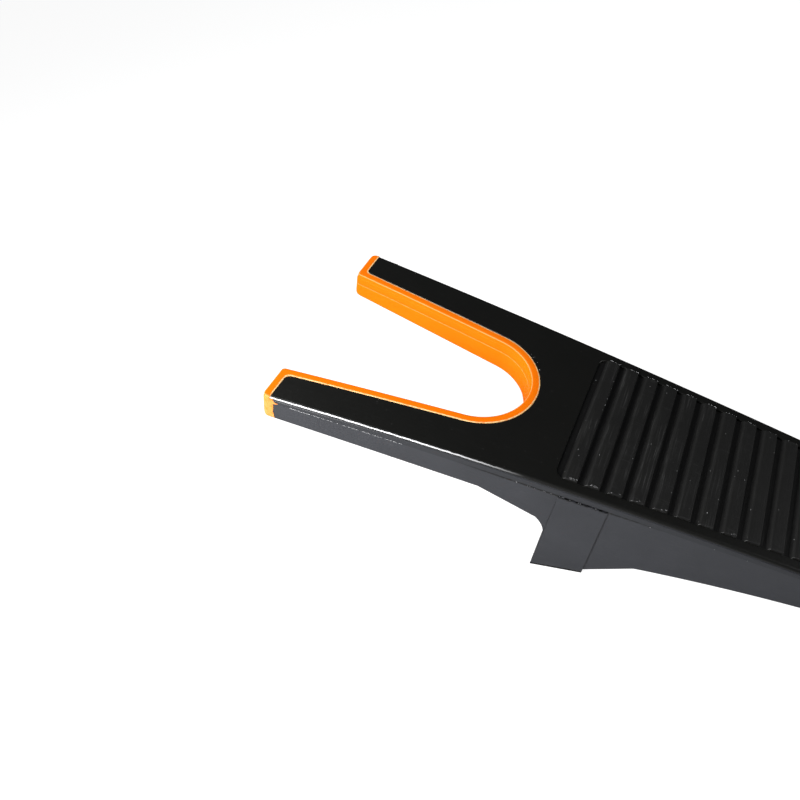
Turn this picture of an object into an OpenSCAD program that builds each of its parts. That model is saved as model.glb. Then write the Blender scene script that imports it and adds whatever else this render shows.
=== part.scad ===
// Boot jack: a tapered, cambered plank with a forked end, standing on two legs.
// Shapes are drawn in the deck's own frame and on_ground() tilts them down:
// x runs along the deck from the fork to the heel end, y runs across it,
// z stands square to it, and x = 0 is the first tread bar.

/* [Stance] */
// Height of the deck over the ground at the first tread bar
deck_h = 60.3; // [59:0.1:70]
// Slope of the deck down to the heel end, in degrees
deck_slope = 17; // [15:0.5:17.5]

/* [Deck] */
// Length from the first tread bar to the ends of the arms
fork_reach = 143.3; // [130:0.1:155]
// Length from the first tread bar to the heel end
heel_reach = 150; // [145:0.5:155]
// Width of the deck over the ends of the arms
fork_w = 119.6; // [112:0.2:130]
// Width of the deck at the heel end
heel_w = 67.8; // [60:0.2:80]
// How far the long edges bow in between their ends
waist = 1; // [0:0.1:2]
// Radius of the two corners of the heel end, seen from above
heel_corner_r = 16; // [8:0.5:22]
// Radius of the lengthwise camber of the deck
camber_r = 3100; // [2600:50:6000]

/* [Cover] */
// Thickness of the soft deck cover
cover_t = 3; // [2.2:0.1:4]
// Thickness of the cover where it rolls down the flanks
cover_side_t = 2; // [1.4:0.1:2.4]
// Depth of the parting line between cover and body, halfway along the deck
cover_drop = 5.8; // [5.2:0.1:6.6]
// Share of the camber that the parting line follows
drop_share = 0.4; // [0.2:0.05:1]
// Radius of the cover's top edge
edge_r = 1.2; // [0.8:0.1:1.6]
// Depth of the fine groove under the rounded edge
groove_d = 0.4; // [0.2:0.1:0.8]

/* [Slot] */
// Distance of the slot's round end centre in front of the first tread bar
slot_x = 62.7; // [58:0.1:70]
// Radius of the lined round end
slot_r = 27.1; // [25:0.1:31]
// Angle by which each side of the slot opens to the mouth, in degrees
slot_flare = 8.4; // [6:0.1:9.5]
// Thickness of the lining along the slot
lining_t = 4.5; // [3.5:0.1:5]
// Thickness of the lining in front of the arm ends
lining_front_t = 4.5; // [4:0.1:6]
// Depth of the stepped lip along the lining's rim
lip_h = 2; // [1:0.1:3]
// Width of the stepped lip
lip_w = 0.4; // [0.3:0.1:1]
// How far the lining's tongue reaches into the body
tongue_d = 1.4; // [0.8:0.1:1.8]
// Height of the tongue
tongue_h = 2.6; // [1.5:0.1:3.5]
// Depth of the tongue's upper face below the deck
tongue_z = 9; // [8.8:0.1:9.8]
// Radius of the inner corner of each arm end
arm_corner_r = 5; // [4:0.1:8]
// Radius of the lower front edge of each arm end
tip_edge_r = 3; // [1:0.1:4]

/* [Arms and legs] */
// Depth of the arms at their ends
arm_tip_t = 14.5; // [14:0.1:18]
// Depth of the arms where the underside starts to drop to the legs
arm_root_t = 17.8; // [17:0.1:22]
// Distance of that drop in front of the first tread bar
drop_x = 40; // [34:0.5:46]
// Depth below the deck at which the drop meets the front of the legs
knee_t = 26.7; // [26:0.1:32]
// Radius of the sweep from the arms' underside into the legs
knee_r = 15; // [8:0.5:18]
// Distance of the legs' front line in front of the first tread bar
leg_x = 5; // [3:0.1:9]
// Length of each leg along the deck
leg_l = 22.2; // [18:0.1:28]
// Width of each leg across the deck
leg_w = 18; // [15:0.1:21]
// Lean of the legs' front faces off square to the deck, in degrees
front_lean = 0.3; // [0:0.1:4]
// Lean of the legs' rear faces off square to the deck, in degrees
rear_lean = 2.3; // [0:0.1:4]
// How far the outer leg faces stand proud of the flanks
leg_proud = 0.5; // [0.2:0.1:1]

/* [Skirt] */
// Wall thickness of the body
wall = 3; // [2.4:0.1:3.6]
// Thickness of the deck plate under the cover
plate_t = 3; // [2:0.1:4]
// Height of the skirt's lower edge over the ground right behind the legs
skirt_foot = 2.2; // [2:0.1:5]
// Ground distance from the first tread bar to the bend in the lower edge
bend_x = 26.3; // [22:0.1:34]
// Radius of the arched lower edge between bend and heel
arch_r = 645; // [560:5:700]
// Height of the arch's crown over the ground
arch_h = 11; // [10:0.1:12.5]

/* [Stiffening ribs] */
// Thickness of the ribs
rib_t = 2.2; // [1.6:0.1:3]
// Spacing of the cross ribs
rib_gap = 24; // [16:1:40]
// Spacing of the lengthwise ribs
rib_row = 17; // [12:0.5:20]
// Depth of the ribs below the deck plate
rib_d = 6; // [3:0.5:7]
// Depth of the bridge between the legs
bridge_t = 46; // [36:0.5:50]
// Rise of the arch cut from the bridge
bridge_rise = 16; // [8:0.5:20]

/* [Tread] */
// Spacing of the tread bars
bar_gap = 10; // [8:0.1:12]
// Width of a tread bar
bar_w = 5.4; // [4:0.1:7]
// Height of the bars' tops over the deck
bar_rise = 1.1; // [0.4:0.1:2]
// Radius along the top of a bar
bar_r = 1.6; // [0.6:0.1:1.9]
// Thickness of the tread's base between the bars
tread_t = 2; // [1:0.1:2.4]
// Distance from the tread's front edge to the first bar's rear face
tread_lead = 10; // [8:0.1:14]
// Bare deck left behind the tread
tread_tail = 14; // [10:0.1:24]
// Width of bare deck beside the tread
tread_margin = 5.4; // [4:0.1:9]
// Radius of the tread's corners
tread_corner_r = 5.5; // [2:0.1:8]

/* [Foot pads] */
// Thickness of the rubber pads under the body
pad_t = 1.2; // [0.8:0.1:2]
// Depth to which a leg pad's plug reaches into its leg
leg_plug_h = 7; // [3:0.1:12]
// Depth to which the heel pad's plug reaches into the heel pocket
heel_plug_h = 3; // [1.5:0.1:4]
// Wall thickness of the pads' hollow plugs
plug_wall = 2; // [1.2:0.1:2.5]

/* [Hidden] */
// Clearance between pieces that seat in one another
seat_gap = 0.1;
// Lengths by which cutting shapes reach far or just past what they cut
past = 400;
nick = 1;
// Overlap where a round runs out into a flat face
bite = 0.01;
// Smallest radius left on a corner inside a wall
least_r = 0.3;
// Facets on small and large circles, and steps along the outline
round_fn = 64;
sweep_fn = 256;
camber_step = 12;
camber_steps = 15;
flank_steps = 26;
corner_steps = 8;
edge_steps = 5;

body_colour = [0.13, 0.13, 0.14];
cover_colour = [0.07, 0.07, 0.07];
tread_colour = [0.05, 0.05, 0.05];
lining_colour = [1.0, 0.47, 0.05];
pad_colour = [0.03, 0.03, 0.03];

front_end = -fork_reach - lining_front_t;
heel_line = heel_reach - heel_corner_r;
bar_count = floor((heel_reach - tread_tail) / bar_gap) + 1;
tread_end = (bar_count - 1) * bar_gap + bar_gap - bar_w;
// Depth of the deck plate's underside, and the level in the plate where ribs start
ceiling_t = cover_t + plate_t;
rib_top = -cover_t - plate_t / 2;

// Fall of the cambered deck below its datum
function camber(x) = camber_r - sqrt(pow(camber_r, 2) - pow(x, 2));

// Half width of the deck, a taper with bowed flanks
function half_w(x) =
    let (t = (x + fork_reach) / (fork_reach + heel_reach))
    fork_w / 2 + (heel_w - fork_w) / 2 * t - 4 * waist * t * (1 - t);

// Half width of the slot, grown by g, ahead of its round end
function slot_half(x, g) = (slot_r + g) / cos(slot_flare) - (slot_x + x) * tan(slot_flare);

// Ground coordinates (x, height) of a deck point, and the way back
function to_ground(p) = [
    p[0] * cos(deck_slope) + p[1] * sin(deck_slope),
    deck_h - p[0] * sin(deck_slope) + p[1] * cos(deck_slope)];
function to_deck(p) = [
    p[0] * cos(deck_slope) - (p[1] - deck_h) * sin(deck_slope),
    p[0] * sin(deck_slope) + (p[1] - deck_h) * cos(deck_slope)];

// Front and rear lines of the legs, as x at a depth z
function leg_front(z) = -leg_x - z * tan(front_lean);
function leg_rear(z) = leg_l - leg_x - z * tan(rear_lean);
// Where a line from x0 with a lean comes down to a height h over the ground
function leg_meets(x0, lean, h) =
    let (z = (h - deck_h + x0 * sin(deck_slope)) / (cos(deck_slope) + tan(lean) * sin(deck_slope)))
    [x0 - z * tan(lean), z];

// Lower edge of the arms, a straight line from root to tip
arm_root = [-drop_x, -arm_root_t - camber(drop_x)];
arm_tip = [-fork_reach, -arm_tip_t - camber(fork_reach)];
arm_rake = (arm_tip[1] - arm_root[1]) / (arm_tip[0] - arm_root[0]);
function arm_under(x) = arm_root[1] + (x - arm_root[0]) * arm_rake;

// Centre of the rounding of the lining's lower front edge, and the way down from it
tip_x = front_end + tip_edge_r;
tip_centre = [tip_x, arm_under(tip_x) + tip_edge_r * norm([1, arm_rake])];
tip_down = [arm_rake, -1] / norm([1, arm_rake]);

// Corner points of the side view below the deck
knee = [leg_front(-knee_t), -knee_t];
leg_toe = leg_meets(-leg_x, front_lean, pad_t);
leg_inside = leg_meets(-leg_x + nick, front_lean, pad_t + nick);
skirt_start = leg_meets(leg_l - leg_x, rear_lean, skirt_foot);
arch_z = arch_h - arch_r;
bend_h = arch_z + sqrt(pow(arch_r, 2) - pow(bend_x, 2));
bend = to_deck([bend_x, bend_h]);
skirt_way = (bend - skirt_start) / norm(bend - skirt_start);
seat_x = sqrt(pow(arch_r, 2) - pow(pad_t - arch_z, 2));
seat_start = to_deck([seat_x, pad_t]);
heel_low = [heel_reach, (pad_t - deck_h + heel_reach * sin(deck_slope)) / cos(deck_slope)];

// Middle of the bounding box, which stands over the origin
low_x = to_ground(tip_centre)[0] - tip_edge_r - bite;
high_x = (heel_reach - edge_r) * cos(deck_slope)
    - (camber(heel_reach) + edge_r) * sin(deck_slope) + edge_r;
middle_x = (low_x + high_x) / 2;

// One side of the deck's outline, drawn in by inset, from the front to the heel
function side_points(inset, front) = concat(
    [for (i = [0 : flank_steps])
        let (x = front + (heel_line - front) * i / flank_steps)
        [x, half_w(x) - inset]],
    [for (i = [1 : corner_steps])
        let (a = 90 * i / corner_steps, r = heel_corner_r - inset)
        [heel_line + r * sin(a), half_w(heel_line) - heel_corner_r + r * cos(a)]]);

// The whole outline, down one side and back up the other
function outline(inset, front) =
    let (side = side_points(inset, front), last = len(side) - 1)
    concat(side, [for (i = [last : -1 : 0]) [side[i][0], -side[i][1]]]);

// Stands a deck-frame shape on the ground over the origin
module on_ground() {
    translate([-middle_x, 0, deck_h])
        rotate([0, deck_slope, 0])
            children();
}

// Draws a side view (x, z) out across the deck
module across(width = past) {
    rotate([90, 0, 0])
        linear_extrude(height = width, center = true)
            children();
}

// Draws a plan (x, y) out square to the deck
module upright() {
    linear_extrude(height = past, center = true)
        children();
}

// Closed shape through layers [inset, z, share of the camber], each an outline
module plate_loft(layers, front) {
    rings = [for (l = layers) for (p = outline(l[0], front))
        [p[0], p[1], l[1] - camber(p[0]) * l[2]]];
    n = len(outline(0, front));
    m = n / 2;
    top = (len(layers) - 1) * n;
    sides = [for (k = [0 : len(layers) - 2]) for (i = [0 : n - 1])
        let (a = k * n + i, b = k * n + (i + 1) % n)
        each [[a, b, b + n], [a, b + n, a + n]]];
    bottom_cap = [for (i = [0 : m - 2]) [n - 1 - i, n - 2 - i, i + 1, i]];
    top_cap = [for (i = [0 : m - 2]) [top + i, top + i + 1, top + n - 2 - i, top + n - 1 - i]];
    polyhedron(rings, concat(sides, bottom_cap, top_cap));
}

// Side view of all that lies below a surface t under the deck, with a share of
// its camber
module below_camber(t, share = 1) {
    reach = camber_steps * camber_step;
    polygon(concat(
        [for (i = [-camber_steps : camber_steps])
            let (x = i * camber_step)
            [x, -t - camber(x) * share]],
        [[reach, -past], [-reach, -past]]));
}

// Side view of all that lies below the parting line
module below_parting() {
    below_camber(cover_drop + seat_gap, drop_share);
}

// The slot seen from above, grown by g
module slot_plan(g) {
    r = slot_r + g;
    run_out = r - bite;
    mouth = front_end - past;
    translate([-slot_x, 0])
        circle(r = r, $fn = 2 * round_fn);
    polygon([
        [-slot_x + run_out * sin(slot_flare), run_out * cos(slot_flare)],
        [mouth, slot_half(mouth, g)],
        [mouth, -slot_half(mouth, g)],
        [-slot_x + run_out * sin(slot_flare), -run_out * cos(slot_flare)]]);
}

// What rounding a corner takes off: a kite from the round's centre out past the
// corner and both touch points, less the round itself
module corner_cut(centre, r, kite) {
    difference() {
        polygon(concat([centre], kite));
        translate(centre)
            circle(r = r + bite, $fn = round_fn);
    }
}

// A plan shape and its mirror image on the other side
module both_sides() {
    for (side = [0, 1])
        mirror([0, side, 0])
            children();
}

// Cuts for the corners between the slot, grown by g, and a front face
module slot_corners(front, g, r) {
    cx = front + r;
    cy = slot_half(cx, g) + r / cos(slot_flare);
    reach = r + nick;
    both_sides()
        corner_cut([cx, cy], r, [
            [front - nick, cy],
            [front - nick, slot_half(front, g) - nick],
            [cx - reach * sin(slot_flare), cy - reach * cos(slot_flare)]]);
}

// Plan of the forked plank, with its flanks drawn in by inset and its slot,
// arm ends and inner corners by g
module fork_plan(inset, g) {
    difference() {
        polygon(outline(inset, -fork_reach + g));
        slot_plan(lining_t + g);
        slot_corners(-fork_reach + g, lining_t + g, max(arm_corner_r - g, least_r));
    }
}

// Side view of the plank without its legs, from a front face on
module keel_profile(front) {
    difference() {
        polygon([
            [front, past],
            [front, arm_under(front)],
            arm_root,
            to_deck([bend_x, bend_h - nick]),
            to_deck([seat_x - nick, pad_t]),
            heel_low,
            [heel_reach + past, heel_low[1]],
            [heel_reach + past, past]]);
        translate(to_deck([0, arch_z]))
            circle(r = arch_r, $fn = sweep_fn);
    }
}

// Rounded sweep that fills the corner between the arms' underside and the legs
module knee_fill() {
    along = (arm_root - knee) / norm(arm_root - knee);
    down = (leg_toe - knee) / norm(leg_toe - knee);
    half = acos(along * down) / 2;
    middle = (along + down) / norm(along + down);
    centre = knee + middle * knee_r / sin(half);
    touch = knee_r / tan(half);
    past_touch = (knee_r + nick) / knee_r;
    difference() {
        polygon([
            knee - middle * nick,
            centre + (knee + along * touch - centre) * past_touch,
            centre,
            centre + (knee + down * touch - centre) * past_touch]);
        translate(centre)
            circle(r = knee_r + bite, $fn = 2 * round_fn);
    }
}

// Side view of the whole plank with its legs, below the surface t under the deck
module side_profile(front, t) {
    intersection() {
        union() {
            keel_profile(front);
            polygon([
                arm_root,
                knee,
                leg_inside,
                skirt_start - skirt_way * nick,
                bend + skirt_way * nick]);
            knee_fill();
        }
        below_camber(t);
    }
}

// Side view of a leg drawn in by g at front and rear, from z down to a height
module leg_profile(g, height, z = rib_top) {
    polygon([
        [leg_front(z) + g, z],
        leg_meets(-leg_x + g, front_lean, height),
        leg_meets(leg_l - leg_x - g, rear_lean, height),
        [leg_rear(z) - g, z]]);
}

// Plan of the strips along both flanks that hold the legs
module leg_plan(outer, inner) {
    difference() {
        polygon(outline(outer, -fork_reach));
        polygon(outline(inner, -fork_reach - nick));
    }
}

// A slab over the ground from height a to height b, in the deck's frame
module ground_slab(a, b) {
    across()
        polygon([
            to_deck([-past, a]),
            to_deck([past, a]),
            to_deck([past, b]),
            to_deck([-past, b])]);
}

// Plan of the rib grid: cross ribs all along and lengthwise ribs behind the slot
module rib_plan() {
    for (x = [-rib_gap * floor(fork_reach / rib_gap) : rib_gap : seat_start[0]])
        if (x < -leg_x - rib_t || x > leg_l - leg_x + rib_t)
            translate([x - rib_t / 2, -past / 2])
                square([rib_t, past]);
    for (row = [-1 : 1])
        translate([-slot_x, row * rib_row - rib_t / 2])
            square([slot_x + seat_start[0] + rib_t, rib_t]);
}

// Deck plate, skirt and slot wall as one open-bottomed shell
module body_shell() {
    difference() {
        union() {
            intersection() {
                upright() fork_plan(seat_gap, seat_gap);
                across() side_profile(-fork_reach, 0);
                across() below_parting();
            }
            intersection() {
                upright() fork_plan(cover_side_t + seat_gap, seat_gap);
                across() side_profile(-fork_reach, cover_t + seat_gap);
            }
            intersection() {
                upright() leg_plan(-leg_proud, wall);
                across() leg_profile(0, pad_t);
                across() below_parting();
            }
        }
        intersection() {
            upright() fork_plan(wall + seat_gap, wall + seat_gap);
            across() below_camber(ceiling_t);
        }
    }
}

// Inner walls that make a box of each leg
module leg_boxes() {
    difference() {
        intersection() {
            upright() leg_plan(wall - nick / 2, leg_w);
            across() leg_profile(0, pad_t);
        }
        intersection() {
            upright() leg_plan(wall / 2, leg_w - wall);
            across() leg_profile(wall, 0, 0);
        }
    }
}

// Two cross walls that tie the legs together over an arch
module leg_bridge() {
    span = half_w(0) - leg_w;
    rise_r = (pow(span, 2) + pow(bridge_rise, 2)) / (2 * bridge_rise);
    intersection() {
        upright() polygon(outline(leg_w - wall / 2, -fork_reach));
        difference() {
            across() leg_profile(0, pad_t);
            across() leg_profile(wall, 0, 0);
            translate([0, 0, -bridge_t - past])
                upright_block();
            translate([0, 0, -bridge_t + bridge_rise - rise_r])
                rotate([0, 90, 0])
                    cylinder(r = rise_r, h = past, center = true, $fn = sweep_fn);
        }
    }
}

// A block that takes away all below a level
module upright_block() {
    translate([-past / 2, -past / 2, 0])
        cube([past, past, past]);
}

// Shallow ribs under the deck plate, in the arms and behind the legs
module deck_ribs() {
    intersection() {
        upright() rib_plan();
        upright() fork_plan(wall / 2, wall / 2);
        across()
            difference() {
                below_camber(-rib_top);
                below_camber(ceiling_t + rib_d);
            }
    }
}

// Cross wall that closes the heel pocket, with the pocket's floor edge on the pad
module heel_wall() {
    intersection() {
        upright() polygon(outline(wall / 2, -fork_reach));
        across()
            intersection() {
                keel_profile(-fork_reach);
                below_camber(-rib_top);
                translate([seat_start[0] - nick, -past / 2])
                    square([wall + nick, past]);
            }
    }
}

// Moulded body: shell, legs, bridge and ribs, with a groove for the lining's tongue
module body() {
    color(body_colour)
        on_ground()
            difference() {
                union() {
                    body_shell();
                    leg_boxes();
                    leg_bridge();
                    deck_ribs();
                    heel_wall();
                }
                tongue(seat_gap);
            }
}

// Soft cover with a rounded, grooved edge, rolled down over the flanks
module deck_cover() {
    rounding = [for (i = [0 : edge_steps])
        let (a = 90 * i / edge_steps)
        [edge_r * (1 - cos(a)), -edge_r * (1 - sin(a)), 1]];
    groove = [
        [0, -edge_r - 3 * groove_d, 1],
        [groove_d, -edge_r - 2 * groove_d, 1],
        [0, -edge_r - groove_d, 1]];
    color(cover_colour)
        on_ground()
            difference() {
                plate_loft(concat([[0, -cover_drop, drop_share]], groove, rounding), -fork_reach);
                plate_loft([
                    [cover_side_t, -cover_drop - cover_t, drop_share],
                    [cover_side_t, -cover_t, 1]],
                    -fork_reach - cover_t);
                upright() slot_plan(lining_t + seat_gap);
                upright() slot_corners(-fork_reach, lining_t + seat_gap, arm_corner_r);
                upright() tread_plan(0);
            }
}

// Plan of the lining between the slot and the plank, its outer side grown by g
module lining_plan(g) {
    difference() {
        polygon(outline(0, front_end));
        slot_plan(0);
        slot_corners(front_end, 0, lining_t / 2);
        fork_plan(-nick, g);
    }
}

// Tongue that runs round the lining at half depth, with clearance c
module tongue(c) {
    intersection() {
        upright() lining_plan(tongue_d + c);
        upright() polygon(outline(wall / 2 + seat_gap, -fork_reach - lining_front_t / 2));
        across()
            difference() {
                below_camber(tongue_z - c);
                below_camber(tongue_z + tongue_h + c);
            }
    }
}

// What rounding the lower front edge of the arm ends takes off
module tip_edge() {
    corner_cut(tip_centre, tip_edge_r, [
        [front_end - nick, tip_centre[1]],
        [front_end - nick, arm_under(front_end) - nick],
        tip_centre + tip_down * (tip_edge_r + nick)]);
}

// Soft lining that wraps the slot and both arm ends, with a stepped lip
module slot_lining() {
    color(lining_colour)
        on_ground() {
            difference() {
                intersection() {
                    upright() lining_plan(0);
                    across() side_profile(front_end, 0);
                }
                intersection() {
                    upright() slot_plan(lip_w);
                    across()
                        difference() {
                            below_camber(0);
                            below_camber(lip_h);
                        }
                }
                across() tip_edge();
            }
            tongue(0);
        }
}

// Plan of the tread, a tapered panel with round corners, drawn in by g
module tread_plan(g) {
    ends = [-tread_lead, tread_end];
    sides = [for (x = ends) half_w(x) - tread_margin];
    turn = atan((sides[0] - sides[1]) / (ends[1] - ends[0]));
    inset = g / cos(turn);
    r = tread_corner_r - g;
    difference() {
        polygon([
            [ends[0] + g, -sides[0] + inset],
            [ends[0] + g, sides[0] - inset],
            [ends[1] - g, sides[1] - inset],
            [ends[1] - g, -sides[1] + inset]]);
        for (end = [0, 1]) {
            out = end == 0 ? -1 : 1;
            edge_x = ends[end] - out * g;
            cx = edge_x - out * r;
            cy = sides[0] - inset - (cx - ends[0]) * tan(turn) - r / cos(turn);
            reach = r + nick;
            both_sides()
                corner_cut([cx, cy], r, [
                    [edge_x + out * nick, cy],
                    [edge_x + out * nick, sides[end] + nick],
                    [cx + reach * sin(turn), cy + reach * cos(turn)]]);
        }
    }
}

// Cross section of one tread bar, round along its top edges
module bar_section() {
    foot = -cover_t + tread_t / 2;
    translate([-bar_w, foot])
        square([bar_w, bar_rise - bar_r - foot]);
    translate([-bar_w + bar_r, foot])
        square([bar_w - 2 * bar_r, bar_rise - foot]);
    for (x = [-bar_w + bar_r, -bar_r])
        translate([x, bar_rise - bar_r])
            circle(r = bar_r, $fn = round_fn / 2);
}

// Rubber tread let into the cover: a base with a row of cross bars
module tread_pad() {
    color(tread_colour)
        on_ground()
            intersection() {
                upright() tread_plan(seat_gap);
                union() {
                    across()
                        difference() {
                            below_camber(cover_t - tread_t);
                            below_camber(cover_t);
                        }
                    for (i = [0 : bar_count - 1])
                        translate([0, 0, -camber(i * bar_gap)])
                            across()
                                translate([i * bar_gap, 0])
                                    bar_section();
                }
            }
}

// Rubber pad under one leg, with a hollow plug that presses into the leg
module leg_pad(side) {
    color(pad_colour)
        on_ground()
            intersection() {
                translate([-past / 2, side > 0 ? 0 : -past, -past / 2])
                    cube([past, past, past]);
                union() {
                    intersection() {
                        upright() leg_plan(-leg_proud, leg_w);
                        across() leg_profile(0, 0);
                        ground_slab(0, pad_t);
                    }
                    difference() {
                        intersection() {
                            upright() leg_plan(wall + 2 * seat_gap, leg_w - wall - seat_gap);
                            across() leg_profile(wall + seat_gap, 0);
                            ground_slab(pad_t / 2, pad_t + leg_plug_h);
                        }
                        intersection() {
                            upright() leg_plan(wall + plug_wall, leg_w - wall - plug_wall);
                            across() leg_profile(wall + plug_wall, 0);
                            ground_slab(pad_t, past);
                        }
                    }
                }
            }
}

module leg_pad_left() {
    leg_pad(-1);
}

module leg_pad_right() {
    leg_pad(1);
}

// Rubber pad across the heel, with a hollow plug that presses into the heel pocket
module heel_pad() {
    pocket = seat_start[0] + wall;
    color(pad_colour)
        on_ground() {
            intersection() {
                upright()
                    intersection() {
                        polygon(outline(seat_gap, -fork_reach));
                        translate([seat_start[0], -past / 2])
                            square(past);
                    }
                ground_slab(0, pad_t);
            }
            difference() {
                intersection() {
                    upright() pocket_plan(pocket + seat_gap, wall + 2 * seat_gap);
                    ground_slab(pad_t / 2, pad_t + heel_plug_h);
                    across() below_camber(ceiling_t + seat_gap);
                }
                intersection() {
                    upright() pocket_plan(pocket + plug_wall, wall + plug_wall);
                    ground_slab(pad_t, past);
                }
            }
        }
}

// Plan of the heel pocket behind a front line, drawn in from the outline by inset
module pocket_plan(front, inset) {
    intersection() {
        polygon(outline(inset, -fork_reach));
        translate([front, -past / 2])
            square(past);
    }
}

body();
deck_cover();
slot_lining();
tread_pad();
leg_pad_left();
leg_pad_right();
heel_pad();
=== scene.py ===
import math
import bmesh
import bpy
import numpy as np
from mathutils import Matrix, Vector


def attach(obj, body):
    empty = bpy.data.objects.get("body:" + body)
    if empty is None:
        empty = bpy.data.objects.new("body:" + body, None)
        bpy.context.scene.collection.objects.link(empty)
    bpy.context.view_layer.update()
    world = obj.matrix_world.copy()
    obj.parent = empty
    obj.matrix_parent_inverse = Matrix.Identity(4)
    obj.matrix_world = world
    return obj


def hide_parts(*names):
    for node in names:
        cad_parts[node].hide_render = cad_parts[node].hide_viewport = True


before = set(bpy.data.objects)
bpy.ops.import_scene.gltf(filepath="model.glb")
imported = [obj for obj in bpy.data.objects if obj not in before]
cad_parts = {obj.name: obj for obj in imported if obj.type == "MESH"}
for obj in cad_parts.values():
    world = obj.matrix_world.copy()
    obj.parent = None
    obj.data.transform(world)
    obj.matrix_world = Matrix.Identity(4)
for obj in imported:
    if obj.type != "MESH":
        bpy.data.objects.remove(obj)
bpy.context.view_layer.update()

# ---------------------------------------------------------------- the view
# The camera stands at the near side, a little in front of the first tread bar,
# and looks down on the fork, so the heel end runs out of the picture.

eye = Vector((0.07022, -0.26486, 0.32765))
look = Vector((-0.41605, 0.62744, -0.65819)).normalized()
side = Vector((0.89480, 0.41137, -0.17349))
side = (side - look * side.dot(look)).normalized()
over = side.cross(look)

view = bpy.data.cameras.new("view")
view.sensor_width = 36.0
view.lens = 35.325
view.clip_start, view.clip_end = 0.02, 60.0
camera = bpy.data.objects.new("view", view)
camera.matrix_world = Matrix((
    (side.x, over.x, -look.x, eye.x),
    (side.y, over.y, -look.y, eye.y),
    (side.z, over.z, -look.z, eye.z),
    (0.0, 0.0, 0.0, 1.0)))
bpy.context.scene.collection.objects.link(camera)
bpy.context.scene.camera = camera

# ---------------------------------------------------------------- the studio
# A pale sheet lies on the floor under the boot jack. A soft lamp stands low on
# the near left, a weaker one hangs overhead, and the room is dim.

bpy.context.scene.view_settings.view_transform = "Standard"


def soft_lamp(name, place, aim, width, watts):
    """A square area lamp at place, turned to face aim."""
    data = bpy.data.lights.new(name, "AREA")
    data.shape = "SQUARE"
    data.size = width
    data.energy = watts
    lamp = bpy.data.objects.new(name, data)
    lamp.location = place
    lamp.rotation_euler = (Vector(aim) - Vector(place)).to_track_quat("-Z", "Y").to_euler()
    bpy.context.scene.collection.objects.link(lamp)


soft_lamp("lamp_key", (-0.225, -0.400, 0.290), aim=(-0.10, -0.04, 0.08), width=0.22, watts=3.5)
soft_lamp("lamp_over", (-0.42, -0.05, 0.75), aim=(-0.08, 0.0, 0.05), width=0.35, watts=3.0)
soft_lamp("lamp_heel", (1.00, 0.25, 0.50), aim=(0.0, 0.0, 0.03), width=0.50, watts=2.5)


def joined(tree, socket, value):
    """Puts a plain value, or another node's output, into a node's input."""
    if isinstance(value, bpy.types.NodeSocket):
        tree.links.new(value, socket)
    else:
        socket.default_value = value


def part_of(tree, kind, **settings):
    """A new node in a tree. A name with in_ before it is an input, and takes a value or
    another node's output. Any other name is one of the node's settings."""
    node = tree.nodes.new(kind)
    for name, value in settings.items():
        if name.startswith("in_"):
            joined(tree, node.inputs[name[3:].replace("_", " ")], value)
        else:
            setattr(node, name, value)
    return node


def ramp_of(tree, value, start, stop, low=0.0, high=1.0):
    """A value that runs from low at start to high at stop, and stays level beyond."""
    return part_of(tree, "ShaderNodeMapRange", in_Value=value, in_From_Min=start,
                   in_From_Max=stop, in_To_Min=low, in_To_Max=high).outputs[0]


# The room is brighter towards the near side. The camera itself sees it white
near_side = (-0.50, -0.84, 0.20)
room_dark, room_bright = 0.035, 0.14

room = bpy.data.worlds.new("room")
bpy.context.scene.world = room
room.use_nodes = True
tree = room.node_tree
tree.nodes.clear()
towards = part_of(tree, "ShaderNodeVectorMath", operation="DOT_PRODUCT")
joined(tree, towards.inputs[0], part_of(tree, "ShaderNodeTexCoord").outputs["Generated"])
joined(tree, towards.inputs[1], near_side)
level = ramp_of(tree, towards.outputs["Value"], -0.3, 1.0, room_dark, room_bright)
dim = part_of(tree, "ShaderNodeBackground", in_Color=(0.90, 0.95, 1.0, 1.0), in_Strength=level)
white = part_of(tree, "ShaderNodeBackground", in_Color=(1.0, 1.0, 1.0, 1.0), in_Strength=1.0)
seen = part_of(tree, "ShaderNodeLightPath")
choose = part_of(tree, "ShaderNodeMixShader")
for socket, output in zip(choose.inputs, (seen.outputs["Is Camera Ray"], dim.outputs[0],
                                          white.outputs[0])):
    joined(tree, socket, output)
part_of(tree, "ShaderNodeOutputWorld", in_Surface=choose.outputs[0])

# The floor, which is a dull grey for the light and close to white for the camera
floor_reach = 6.0
floor_grey = 0.32
floor_glow = 0.92

floor_mesh = bpy.data.meshes.new("floor")
floor_mesh.from_pydata(
    [(-floor_reach, -floor_reach, 0.0), (floor_reach, -floor_reach, 0.0),
     (floor_reach, floor_reach, 0.0), (-floor_reach, floor_reach, 0.0)], [], [(0, 1, 2, 3)])
floor = bpy.data.objects.new("floor", floor_mesh)
bpy.context.scene.collection.objects.link(floor)

paper = bpy.data.materials.new("paper")
paper.use_nodes = True
tree = paper.node_tree
sheet = tree.nodes["Principled BSDF"]
sheet.inputs["Base Color"].default_value = (floor_grey, floor_grey, floor_grey, 1.0)
sheet.inputs["Roughness"].default_value = 0.9
sheet.inputs["Specular IOR Level"].default_value = 0.1
glow = part_of(tree, "ShaderNodeEmission", in_Strength=floor_glow)
seen = part_of(tree, "ShaderNodeLightPath")
both = part_of(tree, "ShaderNodeAddShader")
for socket, output in zip(both.inputs, (sheet.outputs[0], glow.outputs[0])):
    joined(tree, socket, output)
pick = part_of(tree, "ShaderNodeMixShader")
for socket, output in zip(pick.inputs, (seen.outputs["Is Camera Ray"], sheet.outputs[0],
                                        both.outputs[0])):
    joined(tree, socket, output)
joined(tree, tree.nodes["Material Output"].inputs["Surface"], pick.outputs[0])
floor_mesh.materials.append(paper)

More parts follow.
